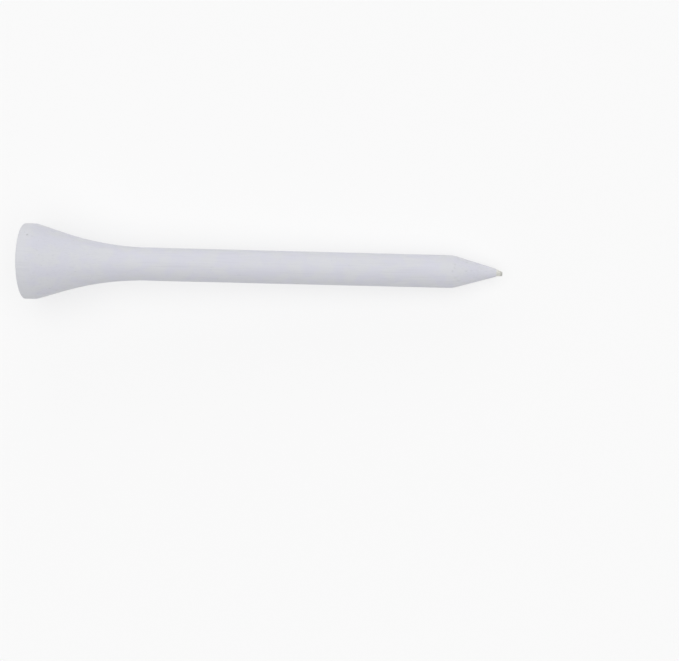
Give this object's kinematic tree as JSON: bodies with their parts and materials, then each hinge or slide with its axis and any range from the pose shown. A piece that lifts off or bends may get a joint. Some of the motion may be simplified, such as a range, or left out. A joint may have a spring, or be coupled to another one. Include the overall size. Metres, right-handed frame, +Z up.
{
  "type": "golf tee",
  "caption": "White-lacquered turned wooden golf tee with a cupped, flared head, a straight round shank and a conical point with a bare wood nib, lying on its side.",
  "frame": {"origin": "on the floor under the middle of the tee's box, as it lies on its side on its head and the shoulder of its point", "axes": "+X from the cup towards the point, with the tee's own axis in the XZ plane and dipping 2.89 degrees towards the point; +Z up; +Y square to both"},
  "size_m": [0.0702, 0.011, 0.0111],
  "materials": {
    "hardwood": "bare turned birch with fine straight grain, seen only on the nib",
    "white_lacquer": "cool white satin lacquer, several thin tumbled coats, faint grain and turning rings showing through"
  },
  "bodies": {
    "root": {"wood_core": "hardwood", "lacquer_coat": "white_lacquer"}
  },
  "joints": []
}
